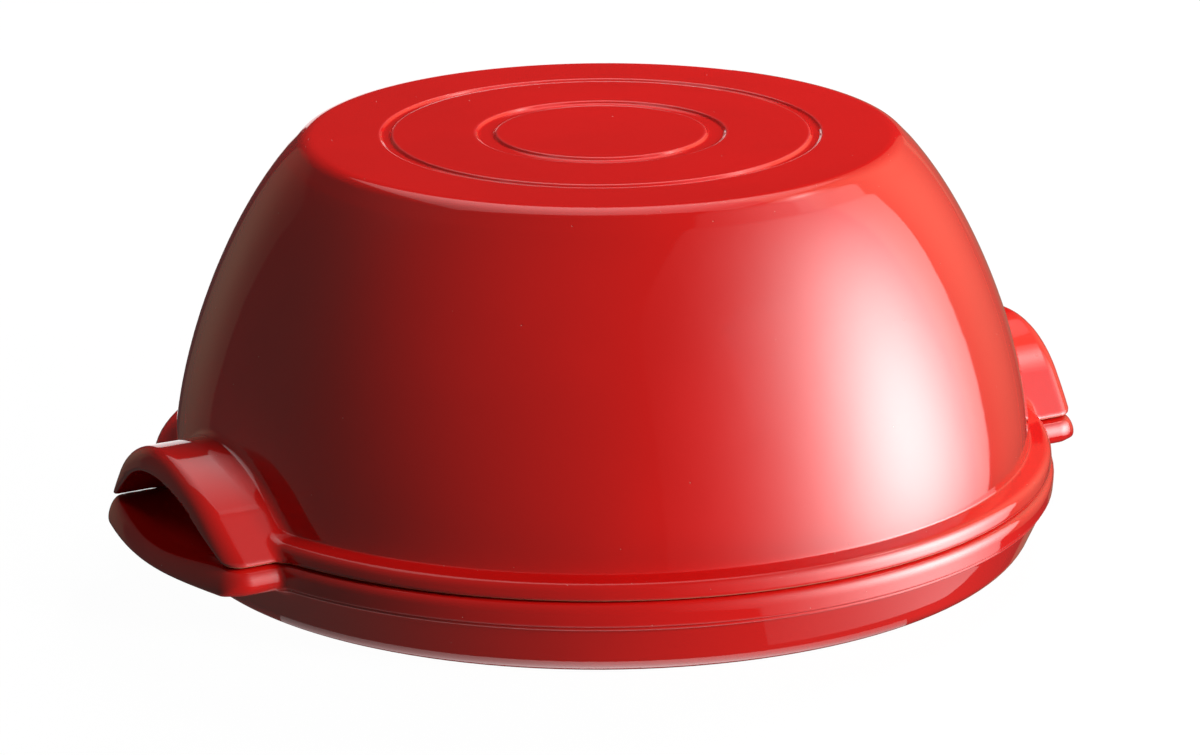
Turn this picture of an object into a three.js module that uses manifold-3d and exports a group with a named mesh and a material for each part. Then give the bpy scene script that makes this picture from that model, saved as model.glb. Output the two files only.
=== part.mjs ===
// A round ceramic bread baker in two pieces: a shallow base dish and a domed lid that lifts off it.
// Millimetres, +Z up. The origin is on the table under the middle, and the handles lie along X.
import * as THREE from 'three';
import { mergeVertices } from 'three/addons/utils/BufferGeometryUtils.js';
import Module from 'manifold-3d';

const wasm = await Module();
wasm.setup();

// Base: outside
const baseHeight = 26.1;
const bandRadius = 148.4;
const bandHeight = 7.6;
const bandTaper = 0.6;
const bandStep = 0.75;
const beadHeight = 1.3;
const bandTopRound = 2.5;
const bandFootRound = 0.25;
const soleInset = 16;
const soleRound = 9.5;
const footRingWidth = 12;
const footRingDepth = 1.2;

// Base: inside
const baseWall = 8;
const floorThickness = 8;
const floorRound = 10;
const rimWidth = 9;
const rimRound = 1.5;

// Lid: outside
const lidHeight = 108.9;
const topRadius = 96.2;
const topRound = 8;
const shoulderAngle = 42.6;
const shoulderPull = 33;
const wallFootAngle = 88;
const wallFootPull = 30;
const wallFootHeight = 6.5;
const lidRimInset = 1;
const lidRimHeight = 5.25;
const lidRimTaper = 0.4;
const lidRimRound = 2;
const lidFootRound = 0.8;
const ledgeWidth = 7;
const ledgeRound = 1.6;

// Lid: inside, and its seat in the base
const lidWall = 8;
const topThickness = 8;
const skirtDepth = 4;
const skirtClearance = 1;
const seatGap = 0.3;

// Ornament: two plain ring grooves in the flat top
const innerGrooveRadius = 37.2;
const innerGrooveWidth = 6.6;
const outerGrooveRadius = 69.4;
const outerGrooveWidth = 4;
const grooveDepth = 0.9;

// Lid handles: arches over a finger pocket
const archHalfWidth = 46.5;
const archHeight = 26.3;
const archCrestRadius = 48;
const archReach = 14.7;
const archLean = 1;
const archRound = 4.8;
const archFillet = 2.2;
const archThickness = 7.8;
const archFootThickness = 6.5;
const pocketCrestRadius = 42;
const pocketBack = 4;
const pocketRound = 1.5;

// Base handles: tabs under the arches
const tabReach = 16.4;
const tabOverhang = 0.5;
const tabThickness = 8.8;
const tabDrop = 0.5;
const tabNoseDrop = 2.2;
const tabCornerRound = 7;
const tabFillet = 3;
const tabRoot = 7;
const dishDepth = 3;

// Fineness of the round stretches
const turnSteps = 64;
const wallSteps = 8;
const arcSteps = 3;
const crestSteps = 10;
const footSteps = 3;
const tabSteps = 14;
const weldDistance = 1e-4;

// Sizes that follow from the ones above
const soleRadius = bandRadius - soleInset;
const lidRimRadius = bandRadius - lidRimInset;
const wallFootRadius = lidRimRadius - ledgeWidth - lidRimTaper;
const lidSeat = baseHeight + seatGap;
const rimInnerRadius = bandRadius - rimWidth;
const skirtRadius = rimInnerRadius - skirtClearance;
const lidInnerRadius = wallFootRadius - lidWall;
const archFront = bandRadius + archReach;
const tabFront = bandRadius + tabReach;
const underBandRadius = bandRadius - bandTaper - 2 * bandStep;
const flatShare = Math.cos(Math.PI / turnSteps);

const glazeRed = new THREE.MeshStandardMaterial({ color: 0xb31a18, roughness: 0.12, metalness: 0 });

const radians = THREE.MathUtils.degToRad;

function point(x, y) {
  return new THREE.Vector2(x, y);
}

// Points on a round stretch about a centre, both ends included, with angles in radians
function arc(centre, radius, from, to, steps = arcSteps) {
  const points = [];
  for (let i = 0; i <= steps; i += 1) {
    const angle = from + ((to - from) * i) / steps;
    points.push(point(centre.x + radius * Math.cos(angle), centre.y + radius * Math.sin(angle)));
  }
  return points;
}

// A corner rounded between the points before and after it
function roundedCorner(before, corner, after, radius, steps = arcSteps) {
  const inward = before.clone().sub(corner).normalize();
  const outward = after.clone().sub(corner).normalize();
  const half = Math.acos(THREE.MathUtils.clamp(inward.dot(outward), -1, 1)) / 2;
  const room = Math.min(before.distanceTo(corner), after.distanceTo(corner)) / 2;
  const setback = Math.min(radius / Math.tan(half), room);
  const start = corner.clone().addScaledVector(inward, setback);
  const end = corner.clone().addScaledVector(outward, setback);
  return new THREE.QuadraticBezierCurve(start, corner, end).getPoints(steps);
}

// The angle at which a line from an outside point touches a circle, on the side given by +1 or -1
function touchAngle(centre, radius, outside, side) {
  const offset = outside.clone().sub(centre);
  return offset.angle() + side * Math.acos(Math.min(1, radius / offset.length()));
}

// A closed solid from any closed geometry, with its faces pointing out
function solid(geometry) {
  const bare = geometry.index ? geometry.toNonIndexed() : geometry.clone();
  bare.deleteAttribute('normal');
  bare.deleteAttribute('uv');
  const welded = mergeVertices(bare, weldDistance);
  const corners = welded.index.array;
  const places = welded.attributes.position;
  const kept = [];
  let volume = 0;
  const [a, b, c] = [new THREE.Vector3(), new THREE.Vector3(), new THREE.Vector3()];
  for (let i = 0; i < corners.length; i += 3) {
    const [p, q, r] = corners.slice(i, i + 3);
    if (p !== q && q !== r && r !== p) {
      kept.push(p, q, r);
      a.fromBufferAttribute(places, p);
      b.fromBufferAttribute(places, q);
      c.fromBufferAttribute(places, r);
      volume += a.dot(b.cross(c));
    }
  }
  const triVerts = new Uint32Array(volume < 0 ? kept.reverse() : kept);
  const vertProperties = new Float32Array(places.array);
  return new wasm.Manifold(new wasm.Mesh({ numProp: 3, vertProperties, triVerts }));
}

// A named mesh from a finished solid
function meshOf(name, body, material) {
  const { vertProperties, triVerts } = body.getMesh();
  const geometry = new THREE.BufferGeometry();
  geometry.setAttribute('position', new THREE.BufferAttribute(new Float32Array(vertProperties), 3));
  geometry.setIndex(new THREE.BufferAttribute(new Uint32Array(triVerts), 1));
  geometry.computeVertexNormals();
  const mesh = new THREE.Mesh(geometry, material);
  mesh.name = name;
  return mesh;
}

// A solid turned about the Z axis from a profile of radius and height
function turned(profile) {
  const geometry = new THREE.LatheGeometry(profile, turnSteps);
  geometry.rotateX(Math.PI / 2);
  return solid(geometry);
}

// A solid through a row of rings, where a ring's second half runs back under its first half
function lofted(rings) {
  const count = rings[0].length;
  const positions = [];
  const quad = (a, b, c, d) => {
    for (const corner of [a, b, c, a, c, d]) {
      positions.push(corner.x, corner.y, corner.z);
    }
  };
  for (let k = 0; k + 1 < rings.length; k += 1) {
    for (let i = 0; i < count; i += 1) {
      const next = (i + 1) % count;
      quad(rings[k][i], rings[k + 1][i], rings[k + 1][next], rings[k][next]);
    }
  }
  const first = rings[0];
  const last = rings[rings.length - 1];
  for (let i = 0; i + 1 < count / 2; i += 1) {
    const under = count - 1 - i;
    quad(first[i], first[i + 1], first[under - 1], first[under]);
    quad(last[under], last[under - 1], last[i + 1], last[i]);
  }
  const geometry = new THREE.BufferGeometry();
  geometry.setAttribute('position', new THREE.Float32BufferAttribute(positions, 3));
  return solid(geometry);
}

// A place on a handle: radius from the axis, distance sideways, and height
function handlePoint(radius, aside, height) {
  return new THREE.Vector3(Math.sqrt(radius * radius - aside * aside), aside, height);
}

function turnedRound(body) {
  return body.rotate([0, 0, 180]);
}

// Lid wall, outside and inside, as two curves of the same character
function wallCurve(top, foot, pullScale) {
  const shoulder = radians(shoulderAngle);
  const upright = radians(wallFootAngle);
  const topPull = shoulderPull * pullScale;
  const footPull = wallFootPull * pullScale;
  const topHandle = point(top.x + topPull * Math.cos(shoulder), top.y - topPull * Math.sin(shoulder));
  const footHandle = point(foot.x - footPull * Math.cos(upright), foot.y + footPull * Math.sin(upright));
  return new THREE.CubicBezierCurve(top, topHandle, footHandle, foot);
}

const wallTop = point(topRadius, lidHeight);
const wallFoot = point(wallFootRadius, wallFootHeight);
const outerWall = wallCurve(wallTop, wallFoot, 1);

function innerWall() {
  const shoulder = radians(shoulderAngle);
  const ceiling = lidHeight - topThickness;
  const inset = point(lidWall * Math.sin(shoulder), lidWall * Math.cos(shoulder));
  const ceilingRadius = topRadius - inset.x + (topThickness - inset.y) / Math.tan(shoulder);
  const top = point(ceilingRadius, ceiling);
  const foot = point(lidInnerRadius, wallFootHeight);
  return wallCurve(top, foot, top.distanceTo(foot) / wallTop.distanceTo(wallFoot));
}

// Radius of the lid wall's outside at a height above the lid's seat
const wallSamples = outerWall.getPoints(wallSteps);
function wallRadius(height) {
  for (let i = 0; i + 1 < wallSamples.length; i += 1) {
    const upper = wallSamples[i];
    const lower = wallSamples[i + 1];
    if (height <= upper.y && height > lower.y) {
      return upper.x + ((lower.x - upper.x) * (upper.y - height)) / (upper.y - lower.y);
    }
  }
  return height > lidHeight ? topRadius : wallFootRadius;
}

// A shallow round groove in the flat top, from its inner edge to its outer edge
function groove(radius, width) {
  const halfWidth = width / 2;
  const sweep = 2 * Math.atan(grooveDepth / halfWidth);
  const bend = halfWidth / Math.sin(sweep);
  const centre = point(radius, lidHeight + bend * Math.cos(sweep));
  return arc(centre, bend, -Math.PI / 2 - sweep, -Math.PI / 2 + sweep);
}

function lidProfile() {
  const outer = outerWall.getPoints(wallSteps);
  const inner = innerWall().getPoints(wallSteps).reverse();
  const rimTop = point(lidRimRadius - lidRimTaper, lidRimHeight);
  const rimFoot = point(lidRimRadius, 0);
  return [
    point(0, lidHeight),
    ...groove(innerGrooveRadius, innerGrooveWidth),
    ...groove(outerGrooveRadius, outerGrooveWidth),
    ...roundedCorner(point(0, lidHeight), wallTop, outer[1], topRound),
    ...outer.slice(1, -1),
    ...roundedCorner(outer[wallSteps - 1], wallFoot, rimTop, ledgeRound),
    ...roundedCorner(wallFoot, rimTop, rimFoot, lidRimRound),
    ...roundedCorner(rimTop, rimFoot, point(skirtRadius, 0), lidFootRound),
    point(skirtRadius, 0),
    point(skirtRadius, -skirtDepth),
    point(lidInnerRadius, -skirtDepth),
    ...inner,
    point(0, lidHeight - topThickness),
  ];
}

// An arch from foot to foot: a round crest and straight flanks, listed from -Y to +Y
function archOutline(halfWidth, height, crestRadius) {
  const centre = point(0, height - crestRadius);
  const foot = point(halfWidth, 0);
  const touch = touchAngle(centre, crestRadius, foot, 1);
  const crest = arc(centre, crestRadius, Math.PI - touch, touch, crestSteps);
  const flank = [];
  const start = crest[crest.length - 1];
  for (let i = 1; i <= footSteps; i += 1) {
    flank.push(start.clone().lerp(foot, i / footSteps));
  }
  const mirrored = flank.map((p) => point(-p.x, p.y)).reverse();
  return [...mirrored, ...crest, ...flank];
}

// Directions square to an outline; the two feet spread straight sideways
function outlineNormals(outline) {
  const last = outline.length - 1;
  return outline.map((p, i) => {
    if (i === 0 || i === last) {
      return point(Math.sign(p.x), 0);
    }
    const along = outline[i + 1].clone().sub(outline[i - 1]).normalize();
    return point(-along.y, along.x);
  });
}

// One ring of an arch: the outline grown by an amount, laid on a curved surface round the axis
function archRing(outline, normals, grow, radiusAt, floor) {
  const upper = outline.map((p, i) => {
    const aside = p.x + normals[i].x * grow;
    const height = Math.max(p.y + normals[i].y * grow, 0);
    return handlePoint(radiusAt(height), aside, height);
  });
  const lower = upper.map((p) => handlePoint(Math.hypot(p.x, p.y), p.y, floor));
  return [...upper, ...lower.reverse()];
}

function archFrontRadius(height) {
  return archFront - (archLean * height) / archHeight;
}

// Steps of a quarter turn: how far along, and how much is left to grow
function quarterSteps(size) {
  const steps = [];
  for (let i = 0; i <= arcSteps; i += 1) {
    const angle = (Math.PI / 2) * (i / arcSteps);
    steps.push({ along: size * (1 - Math.cos(angle)), grow: size * (1 - Math.sin(angle)) });
  }
  return steps;
}

// The fillet starts on the flats of the turned wall, so that no sliver of its first ring stands proud
function archSolid() {
  const outline = archOutline(archHalfWidth, archHeight, archCrestRadius);
  const normals = outlineNormals(outline);
  const rings = [archRing(outline, normals, archFillet, (z) => wallRadius(z) - lidWall / 2, 0)];
  for (const { along, grow } of quarterSteps(archFillet)) {
    rings.push(archRing(outline, normals, grow, (z) => wallRadius(z) * flatShare + along, 0));
  }
  for (const { along, grow } of quarterSteps(archRound).reverse()) {
    rings.push(archRing(outline, normals, -grow, (z) => archFrontRadius(z) - along, 0));
  }
  return lofted(rings);
}

function pocketSolid() {
  const halfWidth = archHalfWidth - archFootThickness;
  const outline = archOutline(halfWidth, archHeight - archThickness, pocketCrestRadius);
  const normals = outlineNormals(outline);
  const floor = -skirtDepth;
  const rings = [archRing(outline, normals, 0, (z) => wallRadius(z) + pocketBack, floor)];
  for (const { along, grow } of quarterSteps(pocketRound).reverse()) {
    rings.push(archRing(outline, normals, grow, (z) => archFrontRadius(z) - along, floor));
  }
  rings.push(archRing(outline, normals, pocketRound, (z) => archFrontRadius(z) + archReach, floor));
  return lofted(rings);
}

function makeLid() {
  const arch = archSolid();
  const pocket = pocketSolid();
  const body = turned(lidProfile())
    .add(arch)
    .add(turnedRound(arch))
    .subtract(pocket)
    .subtract(turnedRound(pocket));
  return meshOf('lid', body, glazeRed);
}

function baseProfile() {
  const bandFootHeight = baseHeight - bandHeight;
  const bandTop = point(bandRadius, baseHeight);
  const bandFoot = point(bandRadius - bandTaper, bandFootHeight);
  const beadHead = point(bandFoot.x - bandStep, bandFootHeight);
  const beadFoot = point(beadHead.x, bandFootHeight - beadHeight);
  const wallHead = point(underBandRadius, beadFoot.y);
  const soleCentre = point(soleRadius, soleRound);
  const touch = touchAngle(soleCentre, soleRound, wallHead, -1);
  const square = point(Math.cos(touch), Math.sin(touch));
  const innerHead = wallHead.clone().addScaledVector(square, -baseWall);
  const floor = footRingDepth + floorThickness;
  const down = point(square.y, -square.x);
  const innerFoot = innerHead.clone().addScaledVector(down, (floor - innerHead.y) / down.y);
  const innerTop = point(rimInnerRadius, baseHeight);
  const innerKnee = point(rimInnerRadius, baseHeight - skirtDepth - skirtClearance);
  const footInner = soleRadius - footRingWidth;
  return [
    point(0, footRingDepth),
    point(footInner - footRingDepth, footRingDepth),
    point(footInner, 0),
    ...arc(soleCentre, soleRound, -Math.PI / 2, touch),
    wallHead,
    beadFoot,
    beadHead,
    ...roundedCorner(beadHead, bandFoot, bandTop, bandFootRound),
    ...roundedCorner(bandFoot, bandTop, innerTop, bandTopRound),
    ...roundedCorner(bandTop, innerTop, innerKnee, rimRound),
    innerKnee,
    ...roundedCorner(innerKnee, innerFoot, point(0, floor), floorRound),
    point(0, floor),
  ];
}

// One ring of a tab: a flat section with round sides, dished between the lid's feet
function tabRing(radius, halfWidth, halfThickness, dish, lowered = 0) {
  const middle = baseHeight - tabDrop - tabThickness / 2 - lowered;
  const straight = halfWidth - halfThickness;
  const sides = [];
  for (let i = 1; i <= arcSteps; i += 1) {
    const angle = (Math.PI / 2) * (i / arcSteps);
    const outward = halfThickness * Math.sin(angle);
    sides.push({ aside: straight + outward, rise: halfThickness * Math.cos(angle) });
  }
  const flat = [];
  for (let i = 0; i <= tabSteps; i += 1) {
    flat.push({ aside: straight * ((2 * i) / tabSteps - 1), rise: halfThickness });
  }
  const mirrored = sides.map(({ aside, rise }) => ({ aside: -aside, rise })).reverse();
  const section = [...mirrored, ...flat, ...sides];
  const dishHalfWidth = archHalfWidth - archFootThickness;
  const upper = section.map(({ aside, rise }) => {
    const across = Math.min(1, Math.abs(aside) / dishHalfWidth);
    const sunk = dish * (1 - across * across) ** 2;
    return handlePoint(radius, aside, middle + rise - sunk);
  });
  const lower = section.map(({ aside, rise }) => handlePoint(radius, aside, middle - rise));
  return [...upper, ...lower.reverse()];
}

function tabSolid() {
  const halfThickness = tabThickness / 2;
  const fullWidth = archHalfWidth + tabOverhang;
  const start = underBandRadius * flatShare;
  const fillet = Math.min(tabFillet, tabFront - halfThickness - start);
  const rings = [tabRing(bandRadius - tabRoot, fullWidth + fillet, halfThickness, 0)];
  for (const { along, grow } of quarterSteps(fillet)) {
    const dish = (dishDepth * along) / fillet;
    rings.push(tabRing(start + along, fullWidth + grow, halfThickness, dish));
  }
  // The nose is round from top to bottom and hangs a little, and its corners are round in plan
  for (let i = 0; i <= arcSteps; i += 1) {
    const angle = (Math.PI / 2) * (i / arcSteps);
    const back = halfThickness * (1 - Math.sin(angle));
    const turn = Math.sqrt(Math.max(0, tabCornerRound ** 2 - (tabCornerRound - back) ** 2));
    const share = Math.cos(angle);
    const halfWidth = fullWidth - tabCornerRound + turn;
    const lowered = tabNoseDrop * (1 - share);
    rings.push(tabRing(tabFront - back, halfWidth, halfThickness * share, dishDepth * share, lowered));
  }
  return lofted(rings);
}

function makeBase() {
  const tab = tabSolid();
  const body = turned(baseProfile()).add(tab).add(turnedRound(tab));
  return meshOf('base', body, glazeRed);
}

const breadBaker = new THREE.Group();
const base = makeBase();
const lid = makeLid();
lid.position.z = lidSeat;
breadBaker.add(base, lid);

export default breadBaker;
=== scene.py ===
"""Looks of a round ceramic bread baker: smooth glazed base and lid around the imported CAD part.

Sizes are in millimetres while the shapes are worked out, and in metres on the finished meshes.
Each piece is a distance field, a turned profile joined to its handles by fillets, and its surface
is drawn on a grid of radius, angle and height, so that rings on the piece stay rings in the mesh.
"""

import math

import bpy
import numpy as np
from mathutils import Matrix, Vector


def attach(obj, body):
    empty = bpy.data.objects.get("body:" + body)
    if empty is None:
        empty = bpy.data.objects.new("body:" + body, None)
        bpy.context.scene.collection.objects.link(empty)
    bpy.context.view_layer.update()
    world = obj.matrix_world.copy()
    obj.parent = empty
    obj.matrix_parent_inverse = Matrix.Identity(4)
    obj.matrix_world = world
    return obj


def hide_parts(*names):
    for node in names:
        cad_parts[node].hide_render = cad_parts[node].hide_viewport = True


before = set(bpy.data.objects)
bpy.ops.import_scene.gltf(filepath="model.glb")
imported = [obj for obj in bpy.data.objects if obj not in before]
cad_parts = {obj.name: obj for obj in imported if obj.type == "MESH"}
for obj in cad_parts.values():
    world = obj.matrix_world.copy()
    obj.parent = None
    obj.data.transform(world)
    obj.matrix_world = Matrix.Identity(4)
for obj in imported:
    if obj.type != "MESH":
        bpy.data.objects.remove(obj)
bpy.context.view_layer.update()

MM = 0.001

# Base, as in the part's source
BASE_HEIGHT = 26.1
BAND_RADIUS = 148.4
BAND_HEIGHT = 7.6
BAND_TAPER = 0.6
BAND_STEP = 0.75
BEAD_HEIGHT = 1.3
BAND_FOOT_ROUND = 0.25
SOLE_INSET = 16
SOLE_ROUND = 9.5
FOOT_RING_WIDTH = 12
FOOT_RING_DEPTH = 1.2
BASE_WALL = 8
FLOOR_THICKNESS = 8
FLOOR_ROUND = 10
RIM_WIDTH = 9
RIM_ROUND = 1.5

# Lid, as in the part's source
LID_HEIGHT = 108.9
TOP_RADIUS = 96.2
TOP_ROUND = 8
SHOULDER_ANGLE = math.radians(42.6)
SHOULDER_PULL = 33
WALL_FOOT_ANGLE = math.radians(88)
WALL_FOOT_PULL = 30
WALL_FOOT_HEIGHT = 6.5
LEDGE_ROUND = 1.6
LID_RIM_INSET = 1
LID_RIM_HEIGHT = 5.25
LID_RIM_TAPER = 0.4
LEDGE_WIDTH = 7
LID_WALL = 8
TOP_THICKNESS = 8
SKIRT_DEPTH = 4
SKIRT_CLEARANCE = 1
SEAT_GAP = 0.3
GROOVES = ((37.2, 6.6), (69.4, 4.0))
GROOVE_DEPTH = 0.9

# Handles, as in the part's source
ARCH_HALF_WIDTH = 46.5
ARCH_HEIGHT = 26.3
ARCH_CREST_RADIUS = 48
ARCH_REACH = 14.7
ARCH_LEAN = 1
ARCH_ROUND = 4.8
ARCH_FILLET = 2.2
ARCH_THICKNESS = 7.8
ARCH_FOOT_THICKNESS = 6.5
POCKET_CREST_RADIUS = 42
POCKET_BACK = 4
POCKET_ROUND = 1.5
TAB_REACH = 16.4
TAB_OVERHANG = 0.5
TAB_THICKNESS = 8.8
TAB_DROP = 0.5
TAB_NOSE_DROP = 2.2
TAB_CORNER_ROUND = 7
TAB_FILLET = 3
TAB_ROOT = 7
DISH_DEPTH = 3

# Edges that are softer than in the part's source
BAND_TOP_ROUND = 3.5
LID_RIM_ROUND = 3.2
LID_FOOT_ROUND = 1.5

# Fine edges, roots and runs that only the scene has
BEAD_ROUND = 0.25
STEP_ROUND = 0.2
FOOT_RING_ROUND = 0.5
KNEE_ROUND = 2
SKIRT_ROUND = 1
GROOVE_ROUND = 0.5
ARCH_ROOT = 2
ARCH_FOOT_ROUND = 1.6
POCKET_CORNER_ROUND = 3
TAB_UNDER_FILLET = 2
TAB_TOP_FILLET = 0.5
DISH_RUN = 7

# Sizes that follow
SOLE_RADIUS = BAND_RADIUS - SOLE_INSET
LID_RIM_RADIUS = BAND_RADIUS - LID_RIM_INSET
WALL_FOOT_RADIUS = LID_RIM_RADIUS - LEDGE_WIDTH - LID_RIM_TAPER
LID_SEAT = BASE_HEIGHT + SEAT_GAP
LID_TOP = LID_SEAT + LID_HEIGHT
RIM_INNER_RADIUS = BAND_RADIUS - RIM_WIDTH
SKIRT_RADIUS = RIM_INNER_RADIUS - SKIRT_CLEARANCE
LID_INNER_RADIUS = WALL_FOOT_RADIUS - LID_WALL
UNDER_BAND_RADIUS = BAND_RADIUS - BAND_TAPER - 2 * BAND_STEP
ARCH_FRONT = BAND_RADIUS + ARCH_REACH
TAB_FRONT = BAND_RADIUS + TAB_REACH
TAB_HALF_WIDTH = ARCH_HALF_WIDTH + TAB_OVERHANG
POCKET_HALF_WIDTH = ARCH_HALF_WIDTH - ARCH_FOOT_THICKNESS

# Fineness of the profiles, of the distance table and of the surface
CORNER_STEPS = 10
WALL_STEPS = 120
TABLE_PITCH = 0.25
TABLE_REACH = 10.0
TABLE_MARGIN = 3.0
LAST_CELL = 1.001
SHORTEST_RUN = 1e-12
SLOPE_STEP = 0.3
BEND_STEP = 0.7
FIT_ROUNDS = 4
FIT_LIMIT = 1.5
FLATTEST_SLOPE = 0.25


# Profiles: lists of (radius, height) points
def rounded_path(corners):
    """A path through (radius, height, round) corners, each with its rounding radius."""
    points = [np.array(c[:2], float) for c in corners]
    path = [points[0]]
    for i in range(1, len(corners) - 1):
        corner = points[i]
        radius = corners[i][2]
        if not radius:
            path.append(corner)
            continue
        inward = points[i - 1] - corner
        outward = points[i + 1] - corner
        room = min(np.linalg.norm(inward), np.linalg.norm(outward)) / 2
        inward /= np.linalg.norm(inward)
        outward /= np.linalg.norm(outward)
        half = math.acos(np.clip(inward @ outward, -1, 1)) / 2
        setback = min(radius / math.tan(half), room)
        start = corner + inward * setback
        end = corner + outward * setback
        for t in np.linspace(0, 1, CORNER_STEPS + 1):
            path.append((1 - t) ** 2 * start + 2 * t * (1 - t) * corner + t * t * end)
    path.append(points[-1])
    return np.array(path)


def wall_curve(top, foot, scale):
    """The lid's wall from top to foot, as points on one smooth curve."""
    shoulder = np.array([math.cos(SHOULDER_ANGLE), -math.sin(SHOULDER_ANGLE)])
    upright = np.array([-math.cos(WALL_FOOT_ANGLE), math.sin(WALL_FOOT_ANGLE)])
    a = top + SHOULDER_PULL * scale * shoulder
    b = foot + WALL_FOOT_PULL * scale * upright
    t = np.linspace(0, 1, WALL_STEPS + 1)[:, None]
    return (1 - t) ** 3 * top + 3 * t * (1 - t) ** 2 * a + 3 * t * t * (1 - t) * b + t**3 * foot


WALL_TOP = np.array([TOP_RADIUS, LID_TOP])
WALL_FOOT = np.array([WALL_FOOT_RADIUS, LID_SEAT + WALL_FOOT_HEIGHT])
OUTER_WALL = wall_curve(WALL_TOP, WALL_FOOT, 1)


def inner_wall():
    """The inside of the lid's wall from ceiling to foot, a wall's thickness within the outside."""
    sunk = TOP_THICKNESS - LID_WALL * math.cos(SHOULDER_ANGLE)
    inset = LID_WALL * math.sin(SHOULDER_ANGLE) - sunk / math.tan(SHOULDER_ANGLE)
    top = np.array([TOP_RADIUS - inset, LID_TOP - TOP_THICKNESS])
    foot = np.array([LID_INNER_RADIUS, WALL_FOOT[1]])
    scale = np.linalg.norm(foot - top) / np.linalg.norm(WALL_FOOT - WALL_TOP)
    return wall_curve(top, foot, scale)


def lid_profile():
    """From the middle of the top, out and down the outside, and up the inside to the ceiling."""
    corners = [(0, LID_TOP, 0)]
    bed = LID_TOP - GROOVE_DEPTH
    for radius, width in GROOVES:
        inner = radius - width / 2
        outer = radius + width / 2
        corners += [(inner, LID_TOP, GROOVE_ROUND), (inner + GROOVE_DEPTH, bed, GROOVE_ROUND)]
        corners += [(outer - GROOVE_DEPTH, bed, GROOVE_ROUND), (outer, LID_TOP, GROOVE_ROUND)]
    corners.append((*WALL_TOP, TOP_ROUND))
    clear = np.linalg.norm(OUTER_WALL - WALL_TOP, axis=1) > TOP_ROUND
    corners += [(*p, 0) for p in OUTER_WALL[clear][:-1]]
    corners += [
        (*WALL_FOOT, LEDGE_ROUND),
        (LID_RIM_RADIUS - LID_RIM_TAPER, LID_SEAT + LID_RIM_HEIGHT, LID_RIM_ROUND),
        (LID_RIM_RADIUS, LID_SEAT, LID_FOOT_ROUND),
        (SKIRT_RADIUS, LID_SEAT, SEAT_GAP),
        (SKIRT_RADIUS, LID_SEAT - SKIRT_DEPTH, SKIRT_ROUND),
        (LID_INNER_RADIUS, LID_SEAT - SKIRT_DEPTH, SKIRT_ROUND),
    ]
    inside = inner_wall()[::-1]
    corners += [(*p, 0) for p in inside[:-1]]
    corners += [(*inside[-1], TOP_ROUND), (0, LID_TOP - TOP_THICKNESS, 0)]
    return rounded_path(corners)


def base_profile():
    """From the middle of the underside, out and up the outside, and down the inside to the floor."""
    band_foot = BASE_HEIGHT - BAND_HEIGHT
    bead_radius = BAND_RADIUS - BAND_TAPER - BAND_STEP
    wall_head = np.array([UNDER_BAND_RADIUS, band_foot - BEAD_HEIGHT])
    centre = np.array([SOLE_RADIUS, SOLE_ROUND])
    offset = wall_head - centre
    touch = math.atan2(offset[1], offset[0]) - math.acos(SOLE_ROUND / np.linalg.norm(offset))
    square = np.array([math.cos(touch), math.sin(touch)])
    floor = FOOT_RING_DEPTH + FLOOR_THICKNESS
    down = np.array([square[1], -square[0]])
    inner_head = wall_head - square * BASE_WALL
    inner_foot = inner_head + down * (floor - inner_head[1]) / down[1]
    foot_inner = SOLE_RADIUS - FOOT_RING_WIDTH
    turn = np.linspace(-math.pi / 2, touch, 2 * CORNER_STEPS)
    sole = [(*(centre + SOLE_ROUND * np.array([math.cos(a), math.sin(a)])), 0) for a in turn]
    return rounded_path([
        (0, FOOT_RING_DEPTH, 0),
        (foot_inner - FOOT_RING_DEPTH, FOOT_RING_DEPTH, FOOT_RING_ROUND),
        (foot_inner, 0, FOOT_RING_ROUND),
        *sole,
        (*wall_head, STEP_ROUND),
        (bead_radius, wall_head[1], BEAD_ROUND),
        (bead_radius, band_foot, STEP_ROUND),
        (BAND_RADIUS - BAND_TAPER, band_foot, BAND_FOOT_ROUND),
        (BAND_RADIUS, BASE_HEIGHT, BAND_TOP_ROUND),
        (RIM_INNER_RADIUS, BASE_HEIGHT, RIM_ROUND),
        (RIM_INNER_RADIUS, BASE_HEIGHT - SKIRT_DEPTH - SKIRT_CLEARANCE, KNEE_ROUND),
        (*inner_foot, FLOOR_ROUND),
        (0, floor, 0),
    ])


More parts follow.
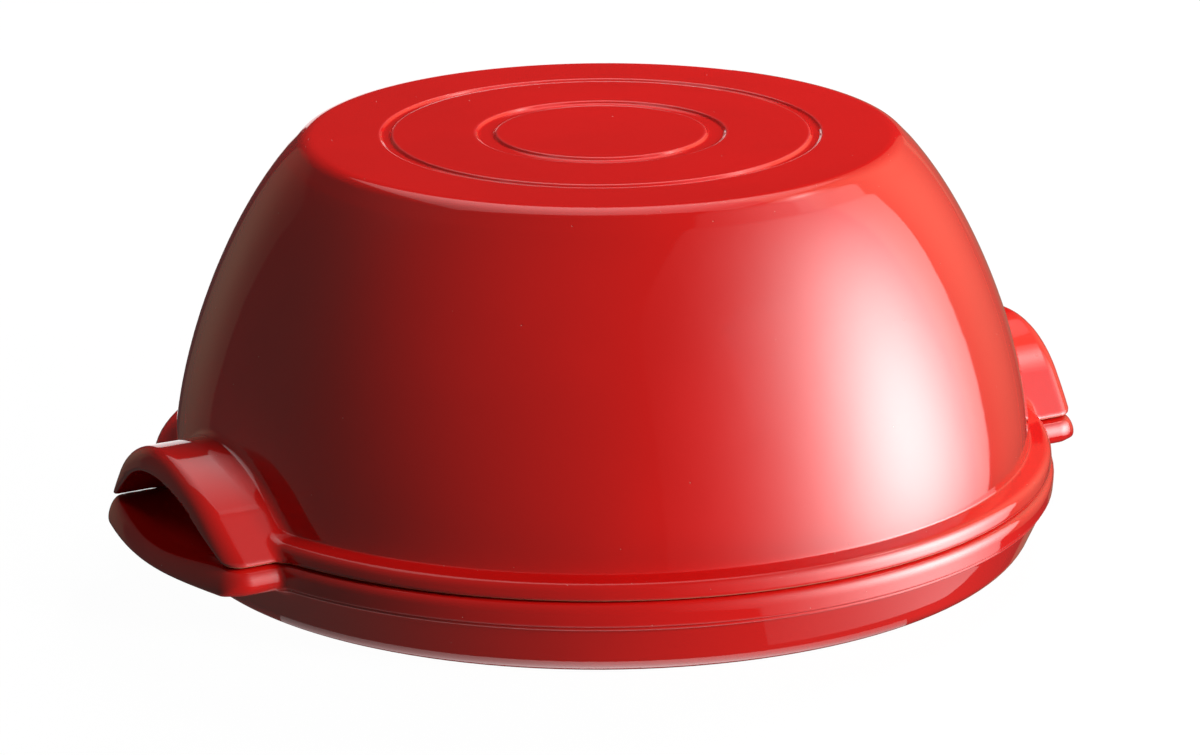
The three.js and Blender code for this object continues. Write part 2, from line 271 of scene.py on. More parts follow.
# Distance fields: below zero inside the clay
class TurnedField:
    """Distance to a profile turned about the Z axis, read from a table of radius and height."""

    def __init__(self, path):
        low = path.min(0) - TABLE_MARGIN
        high = path.max(0) + TABLE_MARGIN + ARCH_FRONT - LID_RIM_RADIUS
        self.low = np.array([0.0, low[1]])
        self.radii = np.arange(self.low[0], high[0], TABLE_PITCH)
        self.heights = np.arange(self.low[1], high[1], TABLE_PITCH)
        away = np.full((len(self.radii), len(self.heights)), TABLE_REACH)
        within = np.zeros(away.shape, bool)
        for start, end in zip(path[:-1], path[1:]):
            self.near_segment(away, start, end)
            self.cross_segment(within, start, end)
        self.table = np.where(within, -away, away)

    def near_segment(self, away, start, end):
        """Lowers the table where this segment is the nearest so far."""
        first = np.searchsorted(self.radii, min(start[0], end[0]) - TABLE_REACH)
        last = np.searchsorted(self.radii, max(start[0], end[0]) + TABLE_REACH)
        bottom = np.searchsorted(self.heights, min(start[1], end[1]) - TABLE_REACH)
        top = np.searchsorted(self.heights, max(start[1], end[1]) + TABLE_REACH)
        r = self.radii[first:last, None] - start[0]
        z = self.heights[None, bottom:top] - start[1]
        run = end - start
        t = np.clip((r * run[0] + z * run[1]) / max(run @ run, SHORTEST_RUN), 0, 1)
        part = away[first:last, bottom:top]
        np.minimum(part, np.hypot(r - t * run[0], z - t * run[1]), out=part)

    def cross_segment(self, within, start, end):
        """Flips inside and outside for the rows that this segment crosses."""
        if start[1] == end[1]:
            return
        bottom = min(start[1], end[1])
        top = max(start[1], end[1])
        rows = np.flatnonzero((self.heights >= bottom) & (self.heights < top))
        share = (self.heights[rows] - start[1]) / (end[1] - start[1])
        crossing = start[0] + share * (end[0] - start[0])
        within[:, rows] ^= self.radii[:, None] < crossing[None, :]

    def __call__(self, r, z):
        """Distance at a radius and a height, read between the lines of the table."""
        x = np.clip((r - self.low[0]) / TABLE_PITCH, 0, len(self.radii) - LAST_CELL)
        y = np.clip((z - self.low[1]) / TABLE_PITCH, 0, len(self.heights) - LAST_CELL)
        i = x.astype(int)
        j = y.astype(int)
        u = x - i
        v = y - j
        low = self.table[i, j] * (1 - u) + self.table[i + 1, j] * u
        high = self.table[i, j + 1] * (1 - u) + self.table[i + 1, j + 1] * u
        return low * (1 - v) + high * v


def both(a, b, radius):
    """What lies in both shapes, with the edge between them rounded."""
    u = np.maximum(a + radius, 0)
    v = np.maximum(b + radius, 0)
    return np.minimum(np.maximum(a, b), -radius) + np.hypot(u, v)


def either(a, b, radius):
    """What lies in either shape, with a fillet between them."""
    return -both(-a, -b, radius)


def smooth(x, start, end):
    """Runs gently from 0 at start to 1 at end."""
    t = np.clip((x - start) / (end - start), 0, 1)
    return t * t * (3 - 2 * t)


def arch_distance(aside, height, half_width, crest, radius):
    """Distance to an arch outline with a round crest and straight flanks."""
    rise = crest - radius
    touch = math.atan2(-rise, half_width) + math.acos(radius / math.hypot(half_width, rise))
    up = height - rise
    on_crest = up * math.cos(touch) > aside * math.sin(touch)
    flank = aside * math.cos(touch) + up * math.sin(touch)
    return np.where(on_crest, np.hypot(aside, up), flank) - radius


def wall_radius(z):
    """Outside radius of the lid's wall at a height."""
    return np.interp(z, OUTER_WALL[::-1, 1], OUTER_WALL[::-1, 0])


lid_turned = TurnedField(lid_profile())
base_turned = TurnedField(base_profile())


def lid_field(r, angle, z):
    """Lid: the turned body with an arch over each tab, hollowed by a pocket for the fingers."""
    aside = np.abs(r * np.sin(angle))
    height = z - LID_SEAT
    wall = wall_radius(z)
    outline = arch_distance(aside, height, ARCH_HALF_WIDTH, ARCH_HEIGHT, ARCH_CREST_RADIUS)
    front = r - ARCH_FRONT + ARCH_LEAN * height / ARCH_HEIGHT
    arch = both(both(outline, front, ARCH_ROUND), -height, ARCH_FOOT_ROUND)
    arch = np.maximum(arch, wall - ARCH_ROOT - r)
    pocket_crest = ARCH_HEIGHT - ARCH_THICKNESS
    mouth = arch_distance(aside, height, POCKET_HALF_WIDTH, pocket_crest, POCKET_CREST_RADIUS)
    pocket = both(mouth, wall + POCKET_BACK - r, POCKET_CORNER_ROUND)
    return both(either(lid_turned(r, z), arch, ARCH_FILLET), -pocket, POCKET_ROUND)


def base_field(r, angle, z):
    """Base: the turned body with a round-edged tab at each end, dished for the fingers."""
    aside = np.abs(r * np.sin(angle))
    plan = both(r - TAB_FRONT, aside - TAB_HALF_WIDTH, TAB_CORNER_ROUND)
    plan = either(plan, r - UNDER_BAND_RADIUS, TAB_FILLET)
    plan = np.maximum(plan, BAND_RADIUS - TAB_ROOT - r)
    across = np.minimum(aside / POCKET_HALF_WIDTH, 1)
    dish = DISH_DEPTH * (1 - across**2) ** 2 * smooth(r, BAND_RADIUS, BAND_RADIUS + DISH_RUN)
    top = BASE_HEIGHT - TAB_DROP
    half = (TAB_THICKNESS - dish) / 2
    nose = np.clip((r - TAB_FRONT) / half + 1, 0, 1)
    middle = top - dish - half - TAB_NOSE_DROP * nose**2
    tab = np.hypot(np.maximum(plan + half, 0), z - middle) - half
    fillet = np.interp(z, (top - TAB_THICKNESS, top), (TAB_UNDER_FILLET, TAB_TOP_FILLET))
    return either(base_turned(r, z), tab, fillet)


# Surface of a field on a grid of radius, angle and height
def stretches(*runs):
    """Grid lines over runs of (start, end, step), each run evenly divided."""
    lines = []
    for start, end, step in runs:
        lines += list(np.linspace(start, end, max(1, round((end - start) / step)), endpoint=False))
    return np.array(lines + [runs[-1][1]])


def around(*runs):
    """Angles all the way round, from runs in degrees over the first quarter."""
    quarter = np.radians(stretches(*runs))
    half = np.concatenate([quarter, math.pi - quarter[-2::-1]])
    return np.concatenate([half[:-1], math.pi + half[:-1]])


def slopes(field, r, angle, z, step):
    """Field, its slopes along radius, turn and height, and how sharply it bends outwards."""
    here = field(r, angle, z)
    turn = step / r
    out = field(r + step, angle, z)
    back = field(r - step, angle, z)
    left = field(r, angle + turn, z)
    right = field(r, angle - turn, z)
    up = field(r, angle, z + step)
    down = field(r, angle, z - step)
    slope = np.stack([out - back, left - right, up - down]) / (2 * step)
    bend = (out + back + left + right + up + down - 6 * here) / step**2 + slope[0] / r
    return here, slope, bend


def shifted(values, axis, side):
    """Values at one end of each grid step along an axis. The angles close on themselves."""
    if axis == 1:
        return np.roll(values, -side, 1)
    cut = [slice(None)] * 3
    cut[axis] = slice(1, None) if side else slice(None, -1)
    return values[tuple(cut)]


class RingMesh:
    """Closed mesh of a field's surface, with the surface's own normals."""

    def __init__(self, field, radii, angles, heights):
        self.radii = radii
        self.angles = angles
        self.heights = heights
        self.turns = np.diff(np.append(angles, angles[0] + 2 * math.pi))
        r, a, z = np.meshgrid(radii, angles, heights, indexing="ij")
        values = field(r, a, z)
        inside = values < 0
        self.number_cells(values, inside)
        self.make_faces(inside)
        self.settle(field)
        self.close_axis()

    def crossings(self, values, inside, axis):
        """Where the surface cuts the grid lines that run along an axis, as shares of a step."""
        here = shifted(values, axis, 0)
        ahead = shifted(values, axis, 1)
        crossed = shifted(inside, axis, 0) != shifted(inside, axis, 1)
        share = np.where(crossed, here / np.where(crossed, here - ahead, 1), 0)
        return crossed, share

    def number_cells(self, values, inside):
        """One point in each cell that the surface passes through, at the mean of its crossings."""
        shape = (len(self.radii) - 1, len(self.angles), len(self.heights) - 1)
        count = np.zeros(shape)
        totals = [np.zeros(shape) for _ in range(3)]
        steps = (
            np.diff(self.radii)[:, None, None],
            self.turns[None, :, None],
            np.diff(self.heights)[None, None, :],
        )
        for axis in range(3):
            crossed, share = self.crossings(values, inside, axis)
            others = [other for other in range(3) if other != axis]
            for sides in ((0, 0), (0, 1), (1, 0), (1, 1)):
                corner = dict(zip(others, sides))
                hit = crossed
                along = share
                for other, side in corner.items():
                    hit = shifted(hit, other, side)
                    along = shifted(along, other, side)
                count += hit
                totals[axis] += along
                for other, side in corner.items():
                    totals[other] += hit * side
        used = count > 0
        self.cells = np.full(shape, -1)
        self.cells[used] = np.arange(used.sum())
        at = np.nonzero(used)
        starts = (self.radii[at[0]], self.angles[at[1]], self.heights[at[2]])
        sizes = [np.broadcast_to(step, shape)[used] for step in steps]
        means = [total[used] / count[used] for total in totals]
        self.places = [start + mean * size for start, mean, size in zip(starts, means, sizes)]
        self.inner = [self.cells[0][:, k] for k in range(shape[2]) if (self.cells[0][:, k] >= 0).all()]

    def make_faces(self, inside):
        """A quad round each crossed grid line, turned to face outwards."""
        cells = self.cells
        faces = []
        before = np.roll(cells, 1, 1)

        def add(corners, crossed, leaving):
            quads = np.stack([corner[crossed] for corner in corners], 1)
            quads[~leaving[crossed]] = quads[~leaving[crossed]][:, ::-1]
            faces.append(quads)

        core = inside[:, :, 1:-1]
        starts = shifted(core, 0, 0)
        corners = [before[:, :, :-1], cells[:, :, :-1], cells[:, :, 1:], before[:, :, 1:]]
        add(corners, starts != shifted(core, 0, 1), starts)
        core = inside[1:-1, :, 1:-1]
        corners = [cells[:-1, :, :-1], cells[:-1, :, 1:], cells[1:, :, 1:], cells[1:, :, :-1]]
        add(corners, core != shifted(core, 1, 1), core)
        core = inside[1:-1]
        starts = shifted(core, 2, 0)
        corners = [before[:-1], before[1:], cells[1:], cells[:-1]]
        add(corners, starts != shifted(core, 2, 1), starts)
        self.quads = np.concatenate(faces)

    def settle(self, field):
        """Draws the points onto the surface, and keeps its normals and bends."""
        r, a, z = self.places
        for _ in range(FIT_ROUNDS):
            here, slope, _ = slopes(field, r, a, z, SLOPE_STEP)
            move = np.clip(here, -FIT_LIMIT, FIT_LIMIT) / np.maximum((slope**2).sum(0), FLATTEST_SLOPE)
            a = a - move * slope[1] / r
            r = r - move * slope[0]
            z = z - move * slope[2]
        _, slope, _ = slopes(field, r, a, z, SLOPE_STEP)
        _, _, self.bends = slopes(field, r, a, z, BEND_STEP)
        cos = np.cos(a)
        sin = np.sin(a)
        self.points = np.stack([r * cos, r * sin, z], 1)
        along_x = slope[0] * cos - slope[1] * sin
        along_y = slope[0] * sin + slope[1] * cos
        normals = np.stack([along_x, along_y, slope[2]], 1)
        self.normals = normals / np.linalg.norm(normals, axis=1)[:, None]

    def close_axis(self):
        """Closes the small holes at the axis with one fan each."""
        self.fans = []
        for loop in self.inner:
            height = self.points[loop, 2].mean()
            up = np.sign(self.normals[loop, 2].mean())
            centre = len(self.points)
            self.points = np.vstack([self.points, [0, 0, height]])
            self.normals = np.vstack([self.normals, [0, 0, up]])
            self.bends = np.append(self.bends, 0)
            after = np.roll(loop, -1)
            fan = np.stack([np.full(len(loop), centre), loop, after], 1)
            self.fans.append(fan if up > 0 else fan[:, ::-1])

    def build(self, name):
        """The finished mesh in metres, as an object in the scene."""
        faces = self.quads.tolist()
        for fan in self.fans:
            faces += fan.tolist()
        mesh = bpy.data.meshes.new(name)
        mesh.from_pydata((self.points * MM).tolist(), [], faces)
        mesh.polygons.foreach_set("use_smooth", np.ones(len(mesh.polygons), bool))
        mesh.normals_split_custom_set_from_vertices(self.normals.tolist())
        mesh.update()
        piece = bpy.data.objects.new(name, mesh)
        bpy.context.scene.collection.objects.link(piece)
        return piece


# Grid lines in runs of start, end and step, finer where the pieces bend, with angles in degrees
ANGLES = around((0, 10, 1.0), (10, 20, 0.55), (20, 28, 1.0), (28, 90, 2.6))
LID_RADII = stretches(
    (3, 32, 4),
    (32, 42.4, 0.65),
    (42.4, 66, 4),
    (66, 73, 0.5),
    (73, 85, 3),
    (85, 99, 0.9),
    (99, 129, 2.2),
    (129, 138, 0.9),
    (138, 148.6, 0.5),
    (148.6, 156, 1.3),
    (156, 164.5, 0.9),
)
LID_HEIGHTS = stretches(
    (LID_SEAT - 5.5, LID_SEAT + 3.5, 0.65),
    (LID_SEAT + 3.5, LID_SEAT + 9, 0.45),
    (LID_SEAT + 9, LID_SEAT + 34, 1.25),
    (LID_SEAT + 34, LID_TOP - 12, 3),
    (LID_TOP - 12, LID_TOP - 6, 0.9),
    (LID_TOP - 6, LID_TOP - 2.25, 0.8),
    (LID_TOP - 2.25, LID_TOP + 0.75, 0.3),
)
BASE_RADII = stretches(
    (4, 116, 8),
    (116, 123, 0.5),
    (123, 130, 1.2),
    (130, 145, 0.8),
    (145, 149, 0.3),
    (149, 158, 1.0),
    (158, 166.4, 0.6),
)
BASE_HEIGHTS = stretches(
    (-0.77, 2.23, 0.3),
    (2.23, 14.6, 0.9),
    (14.6, 16.4, 0.5),
    (16.4, 19.4, 0.3),
    (19.4, 27.3, 0.5),
)

lid = RingMesh(lid_field, LID_RADII, ANGLES, LID_HEIGHTS)
base = RingMesh(base_field, BASE_RADII, ANGLES, BASE_HEIGHTS)

# Glaze: where it runs thin over edges, where highlight lines are painted along edge rings, where it is
# pitted, and where it is wiped off.
# Thin glaze goes by the bend of the surface per millimetre, wiped glaze by how far it faces down.
THIN_BENDS = (0.35, 1.6)
# Painted highlight lines along edge rings: their width in millimetres and how far they pale the red.
HIGHLIGHT_RING_WIDTH = 0.45
HIGHLIGHT_RING_SHARE = 0.8
PIT_EDGE = 4.0
WIPED_EDGE = 0.35
LID_FACING_DOWN = (0.5, 0.9)
BASE_FACING_DOWN = (0.9, 0.99)


def near_ring(made, radius, height, reach):
    """How near the points are to a ring round the axis, from 1 on it to 0 at the reach."""
    x, y, z = made.points.T
    away = np.hypot(np.hypot(x, y) - radius, z - height)
    return 1 - smooth(away, 0, reach)


def thin_glaze_and_highlight(made, rings):
    """How far the glaze has run off sharp outward bends, from 0 to 1, raised by painted highlight lines
    along the given rings at the edges of fine steps and grooves.
    """
    thin_and_highlight = smooth(made.bends, *THIN_BENDS)
    for ring in rings:
        thin_and_highlight = np.maximum(thin_and_highlight, HIGHLIGHT_RING_SHARE * near_ring(made, *ring, HIGHLIGHT_RING_WIDTH))
    return thin_and_highlight


def pitted_glaze(made, rings):
    """How densely the glaze is pitted along the edges where it pulls back, from 0 to 1."""
    return np.max([near_ring(made, *ring, PIT_EDGE) for ring in rings], axis=0)


def wiped_lid(made):
    """The underside of the lid's rim and handles, which rests on the base."""
    height = made.points[:, 2] - LID_SEAT
    facing_down = smooth(-made.normals[:, 2], *LID_FACING_DOWN)
    near_seat = 1 - smooth(np.abs(height), WIPED_EDGE, 2 * WIPED_EDGE)
    return facing_down * near_seat


def wiped_base(made):
    """The foot ring under the base."""
    facing_down = smooth(-made.normals[:, 2], *BASE_FACING_DOWN)
    near_table = 1 - smooth(made.points[:, 2], WIPED_EDGE / 2, WIPED_EDGE)
    return facing_down * near_table


def add_values(piece, name, values):
    """Keeps one number per point on the mesh for the material to read."""
    attribute = piece.data.attributes.new(name, "FLOAT", "POINT")
    attribute.data.foreach_set("value", values.astype(np.float32))


class Nodes:
    """Short calls for building a node tree."""

    def __init__(self, tree):
        self.tree = tree
        tree.nodes.clear()

    def add(self, kind, inputs=None, **settings):
        node = self.tree.nodes.new(kind)
        for key, value in settings.items():
            setattr(node, key, value)
        for key, value in (inputs or {}).items():
            self.feed(node.inputs[key], value)
        return node

    def feed(self, socket, value):
        if isinstance(value, bpy.types.NodeSocket):
            self.tree.links.new(value, socket)
        else:
            socket.default_value = value

    def maths(self, operation, a, b=0.0):
        return self.add("ShaderNodeMath", {0: a, 1: b}, operation=operation).outputs[0]

    def mix(self, share, a, b):
        """A mix of two colours, which are sockets 6 and 7 of the mix node."""
        node = self.add("ShaderNodeMix", data_type="RGBA")
        for socket, value in (("Factor", share), (6, a), (7, b)):
            self.feed(node.inputs[socket], value)
        return node.outputs[2]

    def ramp(self, value, from_low, from_high, to_low, to_high):
        inputs = {
            "Value": value,
            "From Min": from_low,
            "From Max": from_high,
            "To Min": to_low,
            "To Max": to_high,
        }
        return self.add("ShaderNodeMapRange", inputs, interpolation_type="SMOOTHSTEP").outputs[0]

    def noise(self, spot, scale, detail):
        inputs = {"Vector": spot, "Scale": scale, "Detail": detail}
        return self.add("ShaderNodeTexNoise", inputs).outputs["Fac"]

    def point_values(self, name):
        return self.add("ShaderNodeAttribute", attribute_name=name).outputs["Fac"]


# Colours, linear
RED = (0.57, 0.0055, 0.0045, 1)
DEEP_RED = (0.53, 0.005, 0.004, 1)
# painted highlight: this paler red marks thin glaze on sharp bends and also paints highlight lines on
# edge rings
THIN_AND_HIGHLIGHT_RED = (0.62, 0.05, 0.05, 1)
BARE_CLAY = (0.50, 0.30, 0.17, 1)
# painted glint: the pale pinhole colour stands in for highlights in the pits
PINHOLE_GLINT = (0.66, 0.16, 0.12, 1)

# Glaze detail, in features per metre and in metres of relief
CLOUD_SCALE = 14
CLOUD_DETAIL = 3.0
CLOUD_COLOUR_RANGE = (0.35, 0.65)
CLOUD_GLOSS_RANGE = (0.3, 0.7)
RIPPLE_SCALE = 70
RIPPLE_DETAIL = 2.0
PINHOLE_SCALE = 700
PINHOLE_RADIUS = 0.08
PINHOLE_SHARE = 0.004
PITTED_SHARE = 0.06
RIPPLE_HEIGHT = 0.00006
PINHOLE_DEPTH = 0.00015
GLAZE_ROUGHNESS = (0.035, 0.075)
CLAY_ROUGHNESS = 0.8
GLAZE_IOR = 1.52


def glaze_material():
    """Glossy red glaze with clouds, ripple and pinholes, paler where thin and along painted highlight
    rings, pale painted glints in the pinholes, and bare clay where wiped.
    """
    material = bpy.data.materials.new("red_glaze")
    material.use_nodes = True
    nodes = Nodes(material.node_tree)
    spot = nodes.add("ShaderNodeTexCoord").outputs["Object"]
    thin_and_highlight = nodes.point_values("thin_and_highlight")
    wiped = nodes.point_values("wiped")
    pitted = nodes.point_values("pitted")
    clouds = nodes.noise(spot, CLOUD_SCALE, CLOUD_DETAIL)
    ripple = nodes.noise(spot, RIPPLE_SCALE, RIPPLE_DETAIL)
    cells = nodes.add("ShaderNodeTexVoronoi", {"Vector": spot, "Scale": PINHOLE_SCALE})
    draw = nodes.add("ShaderNodeSeparateColor", {0: cells.outputs["Color"]}).outputs[0]
    share = nodes.ramp(pitted, 0.0, 1.0, PINHOLE_SHARE, PITTED_SHARE)
    chosen = nodes.maths("LESS_THAN", draw, share)
    dot = nodes.ramp(cells.outputs["Distance"], PINHOLE_RADIUS, 2 * PINHOLE_RADIUS, 1.0, 0.0)
    pinhole = nodes.maths("MULTIPLY", chosen, dot)

    colour = nodes.mix(nodes.ramp(clouds, *CLOUD_COLOUR_RANGE, 0.0, 1.0), RED, DEEP_RED)
    # painted highlight: paler red where the glaze runs thin and along the highlight rings
    colour = nodes.mix(thin_and_highlight, colour, THIN_AND_HIGHLIGHT_RED)
    # painted glint: pinholes get a pale colour for their highlights, as well as the bump pits below
    colour = nodes.mix(pinhole, colour, PINHOLE_GLINT)
    colour = nodes.mix(wiped, colour, BARE_CLAY)
    gloss = nodes.ramp(clouds, *CLOUD_GLOSS_RANGE, *GLAZE_ROUGHNESS)
    rough = nodes.add("ShaderNodeMix", {0: wiped, 2: gloss, 3: CLAY_ROUGHNESS}).outputs[0]
    waves = nodes.add("ShaderNodeBump", {"Height": ripple, "Distance": RIPPLE_HEIGHT})
    pitting = {"Height": pinhole, "Distance": PINHOLE_DEPTH, "Normal": waves.outputs[0]}
    pits = nodes.add("ShaderNodeBump", pitting, invert=True)
    looks = {"Base Color": colour, "Roughness": rough, "IOR": GLAZE_IOR, "Normal": pits.outputs[0]}
    shader = nodes.add("ShaderNodeBsdfPrincipled", looks)
    nodes.add("ShaderNodeOutputMaterial", {"Surface": shader.outputs[0]})
    return material


# Rings round the axis where the glaze changes and where highlight lines are painted, as radius and height
BAND_FOOT = (BAND_RADIUS - BAND_TAPER, BASE_HEIGHT - BAND_HEIGHT)
BEAD_FOOT = (BAND_RADIUS - BAND_TAPER - BAND_STEP, BASE_HEIGHT - BAND_HEIGHT - BEAD_HEIGHT)
RIM_EDGE = (LID_RIM_RADIUS - LID_RIM_TAPER, LID_SEAT + LID_RIM_HEIGHT)
TOP_EDGE = (TOP_RADIUS, LID_TOP)
GROOVE_EDGES = [(radius + side * width / 2, LID_TOP) for radius, width in GROOVES for side in (-1, 1)]

glaze = glaze_material()
# Each piece: name, mesh, wiped mask, rings of painted highlight lines, rings where the glaze is pitted
for name, made, wiped, highlight_rings, pitted_rings in (
    ("base", base, wiped_base, (BAND_FOOT, BEAD_FOOT), (BAND_FOOT,)),
    ("lid", lid, wiped_lid, GROOVE_EDGES, (WALL_FOOT, RIM_EDGE, TOP_EDGE)),
):
    piece = made.build("glazed_" + name)
    add_values(piece, "thin_and_highlight", thin_glaze_and_highlight(made, highlight_rings))
    add_values(piece, "pitted", pitted_glaze(made, pitted_rings))
    add_values(piece, "wiped", wiped(made))
    piece.data.materials.append(glaze)
    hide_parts(name)
    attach(piece, name)

# Camera at the photograph's viewing angle, which was fitted to the rings of the top, seam and sole
CAMERA_AZIMUTH = -29.6
CAMERA_ELEVATION = 17.12
CAMERA_ROLL = -0.31
CAMERA_DISTANCE = 1.6386
CAMERA_TARGET = Vector((-0.0006, 0.0004, 0.052))
CAMERA_LENS = 150
SENSOR_WIDTH = 36
CAMERA_REACH = 50


def direction(azimuth, elevation):
    """Unit vector from the object towards an azimuth and elevation in degrees."""
    a = math.radians(azimuth)
    e = math.radians(elevation)
    return Vector((math.sin(a) * math.cos(e), -math.cos(a) * math.cos(e), math.sin(e)))


def place(data, name, where, target, roll=0.0, facing="-Z"):
    """An object at a point, with one of its axes facing a target."""
    item = bpy.data.objects.new(name, data)
    bpy.context.scene.collection.objects.link(item)
    turn = (target - where).to_track_quat(facing, "Y").to_matrix().to_4x4()
    rolled = Matrix.Rotation(math.radians(roll), 4, "Z")
    item.matrix_world = Matrix.Translation(where) @ turn @ rolled
    return item


camera_data = bpy.data.cameras.new("camera")
camera_data.lens = CAMERA_LENS
camera_data.sensor_width = SENSOR_WIDTH
camera_data.clip_end = CAMERA_REACH
camera_place = CAMERA_TARGET + CAMERA_DISTANCE * direction(CAMERA_AZIMUTH, CAMERA_ELEVATION)
bpy.context.scene.camera = place(camera_data, "camera", camera_place, CAMERA_TARGET, CAMERA_ROLL)

# Stage: a pale floor, lamps that light the glaze, glowing cards that it mirrors, and a dim room.
# Azimuths are counted from the camera's own, to its right.
FLOOR_SIZE = 10
FLOOR_COLOUR = (0.02, 0.02, 0.02, 1)
FLOOR_GLOW = 0.98
ROOM_FRONT = (0.2, 0.195, 0.175, 1)
ROOM_BACK = (0.045, 0.042, 0.04, 1)
ROOM_SHADE = (0.03, 0.03, 0.03, 1)
PALE_COLOUR = (1, 1, 1, 1)
STAGE_MIDDLE = Vector((0, 0, 0.06))
WHITE = (1, 1, 1, 1)
WARM = (1.0, 0.8, 0.52, 1)

# Lamps: azimuth, elevation, distance, size, power
LAMPS = {
    "key_lamp": (51, 24, 1.3, 0.5, 19.7),
    "top_lamp": (156, 46, 1.3, 0.5, 22.5),
    "bounce_lamp": (60, -45, 1.3, 0.6, 9.4),
    "rim_lamp": (-100, 50, 1.3, 0.5, 1.7),
}

# Standing cards: azimuth, elevation, distance, edges (right, left, bottom, top), colour, strength, spread
STANDING_CARDS = {
    "key_card": (82, 5, 1.3, (-1.02, 3.0, -1.1, 2.4), WHITE, 17.0, (0.74, 0.88)),
    "warm_card": (128, 28, 1.45, (-1.0, 0.5, -1.7, 0.9), WARM, 1.2, (0.8, 1.5)),
    "far_card": (166, 0, 1.45, (-0.26, 0.28, -0.9, 0.2), WARM, 0.17, (5, 5)),
    "spark_card": (113, 51, 1.3, (-0.25, 0.25, -0.2, 0.15), WHITE, 4.5, (0.2, 0.1)),
    "back_card": (180, -8, 1.4, (-0.37, 0.1, -0.4, 0.4), WHITE, 1.3, (2, 2)),
    "left_card": (-140, 0, 1.3, (-0.35, 0.35, -0.5, 0.5), WARM, 0.18, (0.5, 0.5)),
}

# Level cards: shift to the camera's right, away from it and up, edges (left, right, near, far),
# colour, strength, spread
LEVEL_CARDS = {
    "ceiling_card": (-0.05, 0.62, 1.2, (-0.64, 0.67, -0.72, 0.88), WHITE, 1.7, (0.8, 1.6)),
}

# Strips of lit table that the sole mirrors: two edges, brightest spot (right, away), strength, spread.
# An edge is a radius, a first azimuth and a last one.
TABLE_STRIPS = {
    "front_strip": ((0.1362, -48, 44), (0.1422, -48, 44), (0.01, -0.14), 1.9, (0.1, 0.13)),
    "side_strip": ((0.1445, 22, 52), (0.165, 22, 76), (0.114, -0.096), 0.95, (0.07, 0.07)),
}
STRIP_DEPTH = 0.0005
STRIP_STEPS = 46


def plane(name, left, right, bottom, top):
    """A flat rectangle about its origin."""
    mesh = bpy.data.meshes.new(name)
    corners = [(left, bottom, 0), (right, bottom, 0), (right, top, 0), (left, top, 0)]
    mesh.from_pydata(corners, [], [(0, 1, 2, 3)])
    return mesh


def strip(name, inner, outer, middle):
    """A flat strip between two arcs about a middle."""
    mesh = bpy.data.meshes.new(name)
    corners = []
    for radius, first, last in (inner, outer):
        for turn in np.radians(np.linspace(first, last, STRIP_STEPS + 1)):
            x = middle[0] + radius * math.sin(turn)
            y = middle[1] - radius * math.cos(turn)
            corners.append((x, y, 0))
    row = STRIP_STEPS + 1
    mesh.from_pydata(corners, [], [(i, row + i, row + i + 1, i + 1) for i in range(STRIP_STEPS)])
    return mesh


def stage_place(azimuth, elevation, distance):
    """A point round the stage, seen from its middle."""
    return STAGE_MIDDLE + distance * direction(CAMERA_AZIMUTH + azimuth, elevation)


def add_lamp(name, azimuth, elevation, distance, size, power):
    """A soft square lamp that lights what it shines on and shows in no reflection."""
    data = bpy.data.lights.new(name, "AREA")
    data.size = size
    data.energy = power
    lamp = place(data, name, stage_place(azimuth, elevation, distance), STAGE_MIDDLE)
    lamp.visible_camera = False
    lamp.visible_glossy = False


def glow_material(name, colour, strength, spread):
    """Light that is brightest at the card's origin, fades over a spread in x and y, and hides nothing."""
    material = bpy.data.materials.new(name)
    material.use_nodes = True
    nodes = Nodes(material.node_tree)
    spot = nodes.add("ShaderNodeTexCoord").outputs["Object"]
    scaled = nodes.add("ShaderNodeVectorMath", {0: spot, 1: (*spread, 1)}, operation="DIVIDE").outputs[0]
    away = nodes.add("ShaderNodeVectorMath", {0: scaled}, operation="LENGTH").outputs["Value"]
    fall = nodes.maths("ADD", nodes.maths("POWER", away, 2.0), 1.0)
    glow = nodes.maths("DIVIDE", strength, nodes.maths("POWER", fall, 2.0))
    emission = nodes.add("ShaderNodeEmission", {"Color": colour, "Strength": glow}).outputs[0]
    clear = nodes.add("ShaderNodeBsdfTransparent").outputs[0]
    added = nodes.add("ShaderNodeAddShader", {0: emission, 1: clear}).outputs[0]
    nodes.add("ShaderNodeOutputMaterial", {"Surface": added})
    return material


def show_in_reflections(card, material):
    """Gives a card its glow, and hides the card from everything but mirror views."""
    card.data.materials.append(material)
    card.visible_camera = False
    card.visible_diffuse = False
    card.visible_shadow = False


def add_standing_card(name, azimuth, elevation, distance, edges, colour, strength, spread):
    """A glowing card that faces the object."""
    where = stage_place(azimuth, elevation, distance)
    card = place(plane(name, *edges), name, where, STAGE_MIDDLE, facing="Z")
    show_in_reflections(card, glow_material(name, colour, strength, spread))


def add_level(name, mesh, right, away, height):
    """A level object, turned to the camera and shifted to its right and away from it."""
    item = bpy.data.objects.new(name, mesh)
    bpy.context.scene.collection.objects.link(item)
    turn = Matrix.Rotation(math.radians(CAMERA_AZIMUTH), 4, "Z")
    item.matrix_world = turn @ Matrix.Translation((right, away, height))
    return item


def add_level_card(name, right, away, height, edges, colour, strength, spread):
    """A glowing card that lies level."""
    card = add_level(name, plane(name, *edges), right, away, height)
    show_in_reflections(card, glow_material(name, colour, strength, spread))


def add_table_strip(name, inner, outer, brightest, strength, spread):
    """A glowing strip of table round the object's axis, with its origin at the brightest spot."""
    right, away = brightest
    card = add_level(name, strip(name, inner, outer, (-right, -away)), right, away, -STRIP_DEPTH)
    show_in_reflections(card, glow_material(name, WHITE, strength, spread))


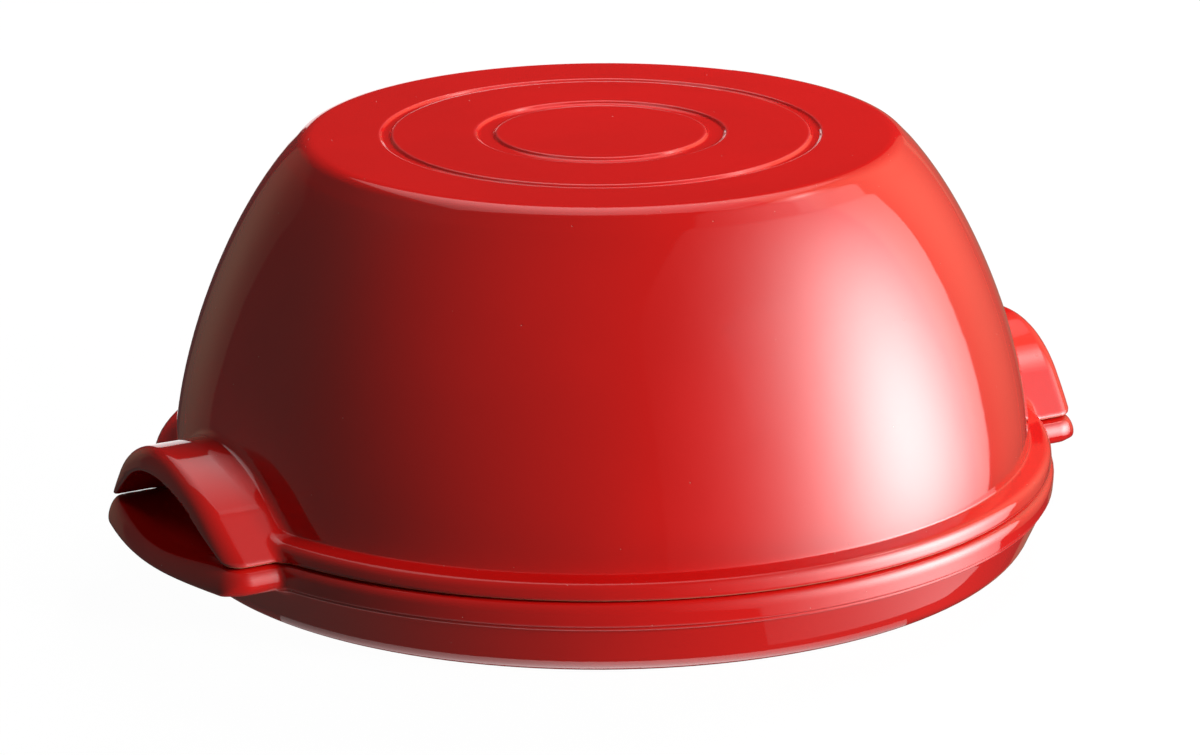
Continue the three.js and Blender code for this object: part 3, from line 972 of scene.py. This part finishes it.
def add_floor():
    """A pale one-sided floor that shows to the camera alone and takes a light shadow."""
    half = FLOOR_SIZE / 2
    floor = add_level("floor", plane("floor", -half, half, -half, half), 0, 0, 0)
    material = bpy.data.materials.new("pale_floor")
    material.use_nodes = True
    nodes = Nodes(material.node_tree)
    paint = nodes.add("ShaderNodeBsdfDiffuse", {"Color": FLOOR_COLOUR}).outputs[0]
    glow = nodes.add("ShaderNodeEmission", {"Strength": FLOOR_GLOW}).outputs[0]
    pale = nodes.add("ShaderNodeAddShader", {0: paint, 1: glow}).outputs[0]
    clear = nodes.add("ShaderNodeBsdfTransparent").outputs[0]
    under = nodes.add("ShaderNodeNewGeometry").outputs["Backfacing"]
    one_sided = nodes.add("ShaderNodeMixShader", {0: under, 1: pale, 2: clear}).outputs[0]
    nodes.add("ShaderNodeOutputMaterial", {"Surface": one_sided})
    floor.data.materials.append(material)
    floor.visible_diffuse = False
    floor.visible_glossy = False
    floor.visible_shadow = False


def add_room():
    """A dim room, darker behind the object, and pale where the camera sees past the floor."""
    world = bpy.data.worlds.new("room")
    bpy.context.scene.world = world
    world.use_nodes = True
    nodes = Nodes(world.node_tree)
    towards = nodes.add("ShaderNodeTexCoord").outputs["Generated"]
    camera_side = direction(CAMERA_AZIMUTH, 0)
    facing = nodes.add("ShaderNodeVectorMath", {0: towards, 1: camera_side}, operation="DOT_PRODUCT")
    dim = nodes.mix(nodes.ramp(facing.outputs["Value"], -1.0, 0.0, 0.0, 1.0), ROOM_BACK, ROOM_FRONT)
    ray = nodes.add("ShaderNodeLightPath").outputs
    lit = nodes.mix(ray["Is Diffuse Ray"], dim, ROOM_SHADE)
    shown = nodes.mix(ray["Is Camera Ray"], lit, PALE_COLOUR)
    background = nodes.add("ShaderNodeBackground", {"Color": shown})
    nodes.add("ShaderNodeOutputWorld", {"Surface": background.outputs[0]})


for name, values in LAMPS.items():
    add_lamp(name, *values)
for name, values in STANDING_CARDS.items():
    add_standing_card(name, *values)
for name, values in LEVEL_CARDS.items():
    add_level_card(name, *values)
for name, values in TABLE_STRIPS.items():
    add_table_strip(name, *values)
add_floor()
add_room()
bpy.context.scene.view_settings.view_transform = "Standard"
